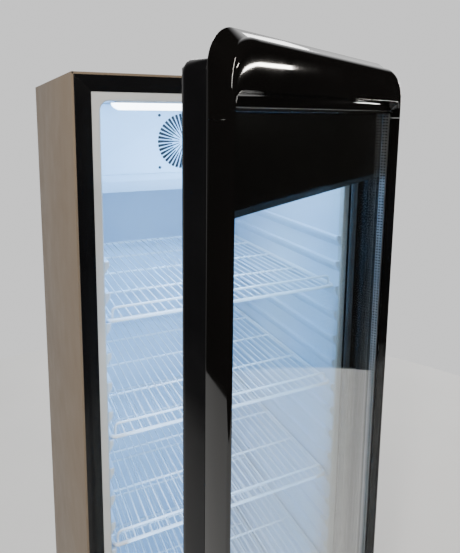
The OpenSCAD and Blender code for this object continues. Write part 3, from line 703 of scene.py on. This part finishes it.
# Radius and height over the base, in millimetres: the compressor's shell and one of its rubber mounts.
POT = ((40, 8), (56, 9), (62, 14), (67, 24), (68, 34), (68, 80), (68, 82), (66, 86), (68, 90), (68, 104),
       (66, 116), (60, 130), (50, 142), (36, 150), (18, 154), (2, 155))
MOUNT = ((10, 0), (11, 1), (11, 3), (8.5, 4), (11, 5), (10, 7))
POT_HALF_X, POT_HALF_Y, MOUNT_X, MOUNT_Y, BOX_HALF = 85 * MM, 60 * MM, 74 * MM, 48 * MM, 30 * MM
low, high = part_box("compressor")
x, y, z = (low.x + high.x) / 2, high.y - POT_HALF_Y, low.z
bm = bmesh.new()
base_plate = round_loop(x - POT_HALF_X, x + POT_HALF_X, y - POT_HALF_Y, y + POT_HALF_Y, (9 * MM,) * 4, 4)
prism(bm, base_plate, "Z", z + 6 * MM, z + 10 * MM, 0.8 * MM)
lathe(bm, in_mm(POT), (x, y, z), "Z", 56)
block(bm, (x - BOX_HALF, low.y, z + 40 * MM), (x + BOX_HALF, low.y + 40 * MM, z + 90 * MM), 3 * MM, 3)
for side in (-1, 1):
    for way in (-1, 1):
        lathe(bm, in_mm(MOUNT), (x + side * MOUNT_X, y + way * MOUNT_Y, z), "Z", 20)
piece("compressor_pot", bm, "plinth", "cabinet", ["compressor"])
paint("box", "control_box")

BLADES, STATIONS, BORE_R = 5, 7, 3.3 * MM
# A blade's half angle at its root and its sweep, in radians, and its bow and half its thickness.
BLADE_HALF, BLADE_SWEEP, BLADE_BOW, BLADE_THICK = 0.42, 0.28, 1.4 * MM, 0.6 * MM


def fan(body, material):
    """A fan with twisted, rounded blades on a domed hub."""
    low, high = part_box(f"{body}_blade")
    x, _, z = JOINTS[f"{body}_spin"]["pos_m"]
    r = (high.z - z) * 0.97
    hub, depth, middle = r * 0.25, (high.y - low.y) * 0.98, (low.y + high.y) / 2
    root = hub * 0.9
    bm = bmesh.new()
    lathe(bm, [(BORE_R, -depth / 2), (hub * 0.6, -depth / 2), (hub * 0.93, -depth * 0.4), (hub, -depth * 0.2),
               (hub, depth / 2), (BORE_R, depth / 2)], (x, middle, z), "Y", 28)
    for blade in range(BLADES):
        start = 2 * math.pi * blade / BLADES
        rows = []
        for k in range(STATIONS):
            t = k / (STATIONS - 1)
            reach = root + (r - root) * t
            half = BLADE_HALF * (1 - 0.25 * t) * math.sqrt(max(0.02, 1 - t ** 6))
            pitch = depth * (0.40 - 0.12 * t)
            row = []
            for side, face in ((-1, -1), (0, -1), (1, -1), (1, 1), (0, 1), (-1, 1)):
                a = start + BLADE_SWEEP * t + side * half
                lift = side * pitch + (BLADE_BOW if side == 0 else 0) + face * BLADE_THICK
                row.append((x + reach * math.cos(a), middle + lift, z + reach * math.sin(a)))
            rows.append(row)
        skin(bm, rows, ends=True)
    piece(f"{body}_rotor", bm, material, body, [f"{body}_blade"])


fan("evaporator_fan", "dark")
fan("condenser_fan", "fins")

# Radius of the fluted knob and distance behind its face, in millimetres.
KNOB = ((14, 13), (16, 12.2), (16, 8), (14.5, 2), (13.4, 0.6), (12, 0.05), (2, 0.4))
SHAFT_R, SHAFT_START, POINTER_HALF = 2.95 * MM, 12 * MM, 0.8 * MM
low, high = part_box("thermostat_knob")
face = (knob[0], low.y, knob[2])
bm = bmesh.new()
lathe(bm, in_mm(KNOB), face, "Y", 96, flute=0.035, flutes=24)
lathe(bm, [(SHAFT_R, SHAFT_START), (SHAFT_R, high.y - low.y)], face, "Y", 20)
piece("knob", bm, "dark", "thermostat", ["thermostat_knob"])
bm = bmesh.new()
block(bm, (knob[0] - POINTER_HALF, low.y - 0.1 * MM, knob[2] + 3 * MM),
      (knob[0] + POINTER_HALF, low.y + 1 * MM, knob[2] + 12 * MM), 0.2 * MM)
piece("knob_pointer", bm, "mark", "thermostat")
DOTS, DOT_STEP, DIAL_R, DOT_R = 7, 45, 20 * MM, 0.9 * MM
bm = bmesh.new()
for dot in range(DOTS):
    a = math.radians(90 - DOT_STEP * dot)
    x, z = knob[0] + DIAL_R * math.cos(a), knob[2] + DIAL_R * math.sin(a)
    lathe(bm, [(DOT_R, -0.12 * MM), (DOT_R, HAIR)], (x, FRONT, z), "Y", 12)
piece("dial_dots", bm, "mark", "cabinet")

# The rocker's face dips in the middle, and it rests turned with its upper edge in.
ROCKER = ((-10, -6), (-9.2, -3), (-8.8, 0), (-9.2, 3), (-10, 6), (6, 6), (6, -6))
ROCKER_TILT, ROCKER_HALF, PIVOT_HALF, PIVOT_R = math.radians(8), 12 * MM, 14 * MM, 1.45 * MM
part = bmesh.new()
prism(part, in_mm(ROCKER), "X", -ROCKER_HALF, ROCKER_HALF, 0.5 * MM)
tube(part, [(-PIVOT_HALF, 0, 0), (PIVOT_HALF, 0, 0)], PIVOT_R, 14)
bm = bmesh.new()
merge(bm, part, Matrix.Translation(rocker) @ Matrix.Rotation(ROCKER_TILT, 4, "X"))
piece("rocker", bm, "switch", "switch_rocker", ["lamp_switch"])

# A levelling foot: its pad, a threaded stud and a lock nut. Radii and heights are in millimetres.
THREADS, THREAD_PITCH, THREAD_LOW, ROOT_R, CREST_R = 34, 1.9, 9, 4.4, 4.9
NUT_R, NUT_LOW, NUT_HIGH = 10 * MM, 14 * MM, 20 * MM
stud = [(15, 0), (17, 1.5), (17, 5), (14, 7.4), (7, 8)]
for turn in range(THREADS):
    stud.append((ROOT_R, THREAD_LOW + THREAD_PITCH * turn))
    stud.append((CREST_R, THREAD_LOW + THREAD_PITCH * (turn + 0.5)))
for word in ("left", "right"):
    low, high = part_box(f"level_foot_{word}")
    x, y = (low.x + high.x) / 2, (low.y + high.y) / 2
    bm = bmesh.new()
    lathe(bm, in_mm(stud), (x, y, 0), "Z", 28)
    prism(bm, circle(x, y, NUT_R, 6), "Z", NUT_LOW, NUT_HIGH, 0.6 * MM)
    piece(f"foot_{word}_stud", bm, "steel", f"foot_{word}", [f"level_foot_{word}"])

# ---- Hinges ----

# The upper hinge is a plate with a round nose about its pin, running back over the cabinet.
NOSE_R, NOSE_STEPS, PLATE_HIGH, PLATE_REACH = 12 * MM, 12, 3 * MM, 90 * MM
PIN_R, PIN_TAPER = 4 * MM, 0.6 * MM
HINGE_SCREW = ((4.4, -0.4), (4.2, 0), (1.6, 0), (1.4, -1))
low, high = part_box("top_hinge")
plate = []
for k in range(NOSE_STEPS + 1):
    a = math.pi + math.pi * k / NOSE_STEPS
    plate.append((HINGE.x + NOSE_R * math.cos(a), HINGE.y + NOSE_R * math.sin(a)))
plate += [(HINGE.x + NOSE_R, HINGE.y + PLATE_REACH), (HINGE.x - NOSE_R, HINGE.y + PLATE_REACH)]
bm = bmesh.new()
prism(bm, plate, "Z", high.z - PLATE_HIGH, high.z, 0.5 * MM)
pin = ((PIN_R - PIN_TAPER, low.z), (PIN_R, low.z + PIN_TAPER), (PIN_R, high.z - 2 * MM))
lathe(bm, [(r, z - HINGE.z) for r, z in pin], HINGE, "Z", 24)
for back in (40 * MM, 74 * MM):
    lathe(bm, in_mm(HINGE_SCREW), (HINGE.x, HINGE.y + back, high.z), "Z", 20)
piece("hinge_upper", bm, "frame", "cabinet", ["top_hinge"])
paint("plinth", "bottom_hinge")
paint("nylon", "hinge_bushes")

# ---- Door ----

low, high = closed_box("door_header")
DOOR_FRONT, JOIN = low.y, high.y
DOOR_HALF, HEAD_TOP, SEAM = high.x, high.z, low.z
DOOR_LOW = closed_box("door_side_profiles")[0].z
glass_low, glass_high = closed_box("outer_glass")
LIP, LIP_ROUND, GLASS_GAP = 6 * MM, 1.7 * MM, 0.2 * MM
RECESS = glass_low.y - DOOR_FRONT
BACK_R, FACE_R, WINDOW_R, FALL = 48 * MM, 62 * MM, 17 * MM, 10 * MM
SIDE_FILLET, TOP_FILLET = 4.8 * MM, 20 * MM
WINDOW_TOP = HEAD_TOP - 73 * MM
# How far the window's upper edge falls on its way back to the glass.
COVE = WINDOW_TOP - 1843 * MM
ARCH_STEPS, FILLET_STEPS, COVE_STEPS = 22, 9, 6
# Distance in from the outline and forward from the back of the header, in millimetres.
BACK_EDGE = ((1.2, 0), (0.35, 0.35), (0, 1.2))
# Distance out from the window and back from the header's face, in millimetres, up to LIP_ROUND.
WINDOW_EDGE = ((1.7, 0), (1.0, 0.15), (0.4, 0.6), (0, 1.7))


def arch(half, top, r, y_of, inset_of=lambda upward: 0):
    """A row over the header: up the left side, round both corners and down the right side."""
    spots = [(180, -half + r, SEAM)]
    spots += [(180 - 90 * k / ARCH_STEPS, -half + r, top - r) for k in range(ARCH_STEPS + 1)]
    spots += [(90 - 90 * k / ARCH_STEPS, half - r, top - r) for k in range(ARCH_STEPS + 1)]
    spots += [(0, half - r, SEAM)]
    row = []
    for degrees, cx, cz in spots:
        a = math.radians(degrees)
        upward = math.sin(a) ** 2
        reach = r - inset_of(upward)
        row.append((cx + reach * math.cos(a), y_of(upward), cz + reach * math.sin(a)))
    return row


def fillet(upward):
    """Radius of the front edge: small down the sides and large over the top."""
    return SIDE_FILLET + (TOP_FILLET - SIDE_FILLET) * upward


def header_rows():
    """The header's section from its back edge over the front to the glass and back to the join."""
    rows = []
    for edge, forward in BACK_EDGE:
        rows.append(arch(DOOR_HALF - edge * MM, HEAD_TOP - edge * MM, BACK_R,
                         lambda u, f=forward: JOIN - f * MM))
    for k in range(FILLET_STEPS + 1):
        a = math.pi / 2 * k / FILLET_STEPS
        rows.append(arch(DOOR_HALF, HEAD_TOP - FALL, FACE_R,
                         lambda u, a=a: DOOR_FRONT + fillet(u) * (1 - math.sin(a)),
                         lambda u, a=a: fillet(u) * (1 - math.cos(a))))
    window = DOOR_HALF - LIP
    for out, back in WINDOW_EDGE:
        rows.append(arch(window + out * MM, WINDOW_TOP + out * MM, WINDOW_R,
                         lambda u, b=back: DOOR_FRONT + b * MM))
    deep = RECESS - LIP_ROUND - GLASS_GAP
    for k in range(1, COVE_STEPS + 1):
        a = math.pi / 2 * k / COVE_STEPS
        rows.append(arch(window, WINDOW_TOP, WINDOW_R,
                         lambda u, a=a: DOOR_FRONT + LIP_ROUND + deep * math.sin(a),
                         lambda u, a=a: COVE * u * (1 - math.cos(a))))
    inner, inner_top = glass_high.x + 0.4 * MM, glass_high.z + 0.8 * MM
    for back in (RECESS - GLASS_GAP, JOIN - DOOR_FRONT):
        rows.append(arch(inner, inner_top, WINDOW_R, lambda u, b=back: DOOR_FRONT + b))
    return rows


bm = bmesh.new()
rows = header_rows()
skin(bm, rows, around=False, loop=True)
for end in (0, -1):
    bm.faces.new([bm.verts.new(row[end]) for row in rows])
piece("header", bm, "gloss", "door", ["door_header"], smooth=40)

# The side profiles carry on the section with which the header ends.
section = [(row[-1][0], row[-1][1]) for row in rows]
bm = bmesh.new()
for side in (-1, 1):
    prism(bm, [(side * x, y) for x, y in section], "Z", DOOR_LOW, SEAM - 0.5 * MM)
piece("side_profiles", bm, "gloss", "door", ["door_side_profiles"], smooth=40)

low, high = closed_box("door_bottom_rail")
RAIL_R, RAIL_FLOOR, groove = 6 * MM, 3 * MM, glass_low.y - GLASS_GAP
turns = [math.pi / 2 * k / 6 for k in range(7)]
foot = [(low.y + RAIL_R - RAIL_R * math.sin(a), low.z + RAIL_R - RAIL_R * math.cos(a)) for a in turns]
nose = [(low.y + RAIL_R - RAIL_R * math.cos(a), high.z - RAIL_R + RAIL_R * math.sin(a)) for a in turns]
outline = foot + nose + [(groove, high.z), (groove, low.z + RAIL_FLOOR), (high.y, low.z + RAIL_FLOOR),
                         (high.y, low.z)]
bm = bmesh.new()
prism(bm, outline, "X", low.x, high.x)
piece("bottom_rail", bm, "gloss", "door", ["door_bottom_rail"], smooth=40)

low, high = closed_box("door_rear_frame")
IN_X, IN_LOW, IN_HIGH = DOOR_HALF - 12 * MM, low.z + 24 * MM, high.z - 54 * MM
CORNERS = (2 * MM, 2 * MM, 14 * MM, 14 * MM)
sections = []
# Where along y, and how far the sides and the top are drawn in there, in millimetres.
for y, side, top in ((low.y, 1.0, 1.0), (low.y + 0.35 * MM, 0.3, 0.3), (low.y + 1.2 * MM, 0, 0),
                     (high.y - 8 * MM, 0, 0), (high.y - 5 * MM, 0.2, 0.8), (high.y - 2.2 * MM, 0.9, 2.6),
                     (high.y - 0.6 * MM, 2.2, 5.0), (high.y, 3.6, 7.5)):
    s, t = side * MM, top * MM
    sections.append((y, low.x + s, high.x - s, low.z + s, high.z - t, CORNERS))
for y, out in ((high.y, 1.0), (high.y - 0.3 * MM, 0.3), (high.y - 1 * MM, 0), (low.y, 0)):
    o = out * MM
    sections.append((y, -IN_X - o, IN_X + o, IN_LOW - o, IN_HIGH + o, (4 * MM,) * 4))
bm = bmesh.new()
ring(bm, sections)
piece("rear_frame", bm, "frame", "door", ["door_rear_frame"], smooth=40)


def inset_ring(bm, low, high, rows):
    """A square-cornered frame inside a box. Each row is a y and the distance in from the box's sides."""
    ring(bm, [(y, low.x + i, high.x - i, low.z + i, high.z - i, SQUARE) for y, i in rows])


low, high = closed_box("door_gasket")
# Inset from the outer edge and distance from the frame, in millimetres: foot, bellows and magnet head.
BELLOWS_DEEP = 11.6
BELLOWS = ((3, 0), (3, 2), (1.2, 3.2), (0.2, 4.8), (1.4, 6.2), (0.2, 7.8), (0.4, 10.6), (1.4, BELLOWS_DEEP),
           (10.6, BELLOWS_DEEP), (11.6, 10.6), (11.8, 7.8), (10.6, 6.2), (11.8, 4.8), (10.8, 3.2), (9, 2),
           (9, 0))
bm = bmesh.new()
squeeze = (high.y - low.y) / (BELLOWS_DEEP * MM)
inset_ring(bm, low, high, [(low.y + deep * squeeze * MM, inset * MM) for inset, deep in BELLOWS])
piece("gasket", bm, "gasket", "door", ["door_gasket"])

# The spacer is set back a little from the outer pane, so that the printed border fits before it.
low, high = closed_box("glass_spacer")
SPACER_WIDE, SPACER_SHOULDER, SPACER_BACK = 7 * MM, 6.2 * MM, 0.3 * MM
bm = bmesh.new()
inset_ring(bm, low, high, [(low.y + SPACER_BACK, 0), (low.y + SPACER_BACK, SPACER_SHOULDER),
                           (low.y + 0.8 * MM, SPACER_WIDE), (high.y - 0.8 * MM, SPACER_WIDE),
                           (high.y, SPACER_SHOULDER), (high.y, 0)])
piece("spacer_bar", bm, "spacer", "door", ["glass_spacer"])

# Two rows of dark dashes along each upright of the spacer are painted shade: they stand for the shaded holes to
# its drying agent.
HOLE_PITCH, HOLE_HIGH, HOLE_WIDE, HOLE_DEEP = 6 * MM, 2.8 * MM, 4 * MM, 0.06 * MM
bm = bmesh.new()
for side in (-1, 1):
    x = side * (high.x - SPACER_WIDE) - side * 0.04 * MM
    for y in (low.y + 3.6 * MM, high.y - 3.4 * MM):
        for k in range(int((high.z - low.z - 2 * SPACER_WIDE) / HOLE_PITCH)):
            z = low.z + SPACER_WIDE + (k + 0.5) * HOLE_PITCH
            hole = round_loop(y - HOLE_WIDE / 2, y + HOLE_WIDE / 2, z - HOLE_HIGH / 2, z + HOLE_HIGH / 2,
                              (HOLE_HIGH / 2,) * 4, 3)
            prism(bm, hole, "X", x - HOLE_DEEP, x + HOLE_DEEP)
piece("spacer_hole_shade", bm, "dark", "door")

# A dark band is printed across the top of the inner pane. Along its lower edge runs a paler bluish strip of
# painted light, standing for the cabinet's blue light seen through the edge of the print.
pane_low, pane_high = closed_box("inner_glass")
FILM_GAP, STRIP_HIGH = 0.4 * MM, 9 * MM
film_x, film_top = high.x - SPACER_WIDE - FILM_GAP, high.z - SPACER_WIDE - FILM_GAP
strip_low = pane_high.z - 141 * MM
strip_top = strip_low + STRIP_HIGH
for name, z0, z1, material in (("glass_band", strip_top, film_top, "band"),
                               ("glass_painted_glow_strip", strip_low, strip_top - HAIR, "painted_glow")):
    film = round_loop(-film_x, film_x, z0, z1, (FILM_GAP,) * 4, 3)
    bm = bmesh.new()
    prism(bm, film, "Y", pane_low.y - 0.35 * MM, pane_low.y - HAIR)
    piece(name, bm, material, "door")
# A printed border on the outer pane hides the top bar of the spacer but for a thin line.
border_x = film_x + SPACER_WIDE
bm = bmesh.new()
prism(bm, round_loop(-border_x, border_x, film_top, high.z - 3.2 * MM, (FILM_GAP,) * 4, 3),
      "Y", low.y + HAIR, low.y + 0.2 * MM)
piece("glass_border", bm, "band", "door")
paint("glass", "outer_glass", "inner_glass")

# ---- Floor, camera and light ----

FLOOR_R, FLOOR_DROP = 2.8, 1 * MM
floor_paint = surface("studio_floor", (0.86, 0.86, 0.85), (0.88, 0.88, 0.87), 2, (0.6, 0.75), 300, 0.05)
bm = bmesh.new()
bmesh.ops.create_circle(bm, cap_ends=True, segments=128, radius=FLOOR_R)
mesh = bpy.data.meshes.new("floor")
bm.to_mesh(mesh)
bm.free()
mesh.materials.append(floor_paint)
floor = bpy.data.objects.new("floor", mesh)
floor.location.z = -FLOOR_DROP
bpy.context.scene.collection.objects.link(floor)

# The photo's camera, as it was fitted to the edges of the cabinet and the door.
STAND = (-0.428, -1.183, 1.836)
HEADING, PITCH, ROLL = math.radians(24.8), math.radians(-8.58), math.radians(0.52)
camera = bpy.data.objects.new("camera", bpy.data.cameras.new("camera"))
bpy.context.scene.collection.objects.link(camera)
bpy.context.scene.camera = camera
camera.data.lens = 33.23
camera.data.shift_x = 0.0128
camera.data.shift_y = -0.1568
camera.matrix_world = (Matrix.Translation(STAND) @ Matrix.Rotation(-HEADING, 4, "Z")
                       @ Matrix.Rotation(math.pi / 2 + PITCH, 4, "X") @ Matrix.Rotation(ROLL, 4, "Z"))


def area(name, stand, aim, size, power, colour=(1, 1, 1)):
    """A soft rectangular light that faces a point. The camera doesn't see it, but gloss does."""
    data = bpy.data.lights.new(name, "AREA")
    data.shape = "RECTANGLE"
    data.size, data.size_y = size
    data.energy = power
    data.color = colour
    light = bpy.data.objects.new(name, data)
    light.location = stand
    light.rotation_euler = (Vector(aim) - Vector(stand)).to_track_quat("-Z", "Y").to_euler()
    light.visible_camera = False
    bpy.context.scene.collection.objects.link(light)


# Inside, two cool lights stand for the lamp and its glow off the walls. Outside they are warm or white.
COOL, WARM, WARMER, WARMEST = (0.22, 0.54, 1.0), (1.0, 0.97, 0.93), (1.0, 0.95, 0.88), (1.0, 0.93, 0.84)
low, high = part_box("lamp_diffuser")
x, y, z = (low.x + high.x) / 2, (low.y + high.y) / 2, low.z
area("inside_light", (x, y, z - 2 * MM), (x, y + 0.35, z - 0.9), (0.42, 0.03), 7.0, COOL)
area("inside_fill", (0, FRONT + 12 * MM, 0.95), (0, BACK, 1.0), (0.44, 1.2), 4.2, COOL)
area("key_light", (-2.6, -3.0, 3.1), (-0.3, 0, 1.1), (0.4, 1.8), 64, WARM)
area("ceiling_strip", (-1.0, -1.5, 3.4), (0, -0.4, 1.9), (0.10, 1.5), 22, WARMER)
area("ceiling_lamps", (0.9, -2.2, 3.2), (0.1, -0.4, 1.9), (0.7, 0.10), 16, WARMEST)
area("side_lamp", (5.0, -0.68, 2.36), (0, -0.6, 1.88), (0.5, 0.10), 14, WARMER)
area("edge_strip", (4.2, 1.3, 1.35), (0, -0.5, 1.35), (0.12, 2.2), 26, WARM)
area("back_fill", (1.5, 3.5, 2.6), (0, 0.3, 1.0), (2.5, 2.0), 70)

# The studio is pale to the camera and lights evenly, but gloss sees only its far half lit and stays black.
SEEN_BY_CAMERA, LIGHTING, DIM, LIT = (0.95,) * 3, (0.58,) * 3, (0.012, 0.011, 0.010), (0.9,) * 3
world = bpy.data.worlds.new("studio")
bpy.context.scene.world = world
world.use_nodes = True
tree = world.node_tree
direction = tree.nodes.new("ShaderNodeTexCoord").outputs["Generated"]
parts = tree.nodes.new("ShaderNodeSeparateXYZ")
tree.links.new(direction, parts.inputs["Vector"])
sight = blend_colours(tree, parts.outputs["Y"], DIM, LIT, 0.45, 0.7)
light_path = tree.nodes.new("ShaderNodeLightPath")
for ray, colour in (("Is Diffuse Ray", LIGHTING), ("Is Camera Ray", SEEN_BY_CAMERA)):
    mix = tree.nodes.new("ShaderNodeMix")
    mix.data_type = "RGBA"
    mix.inputs["B"].default_value = (*colour, 1)
    tree.links.new(light_path.outputs[ray], mix.inputs["Factor"])
    tree.links.new(sight, mix.inputs["A"])
    sight = mix.outputs["Result"]
tree.links.new(sight, tree.nodes["Background"].inputs["Color"])
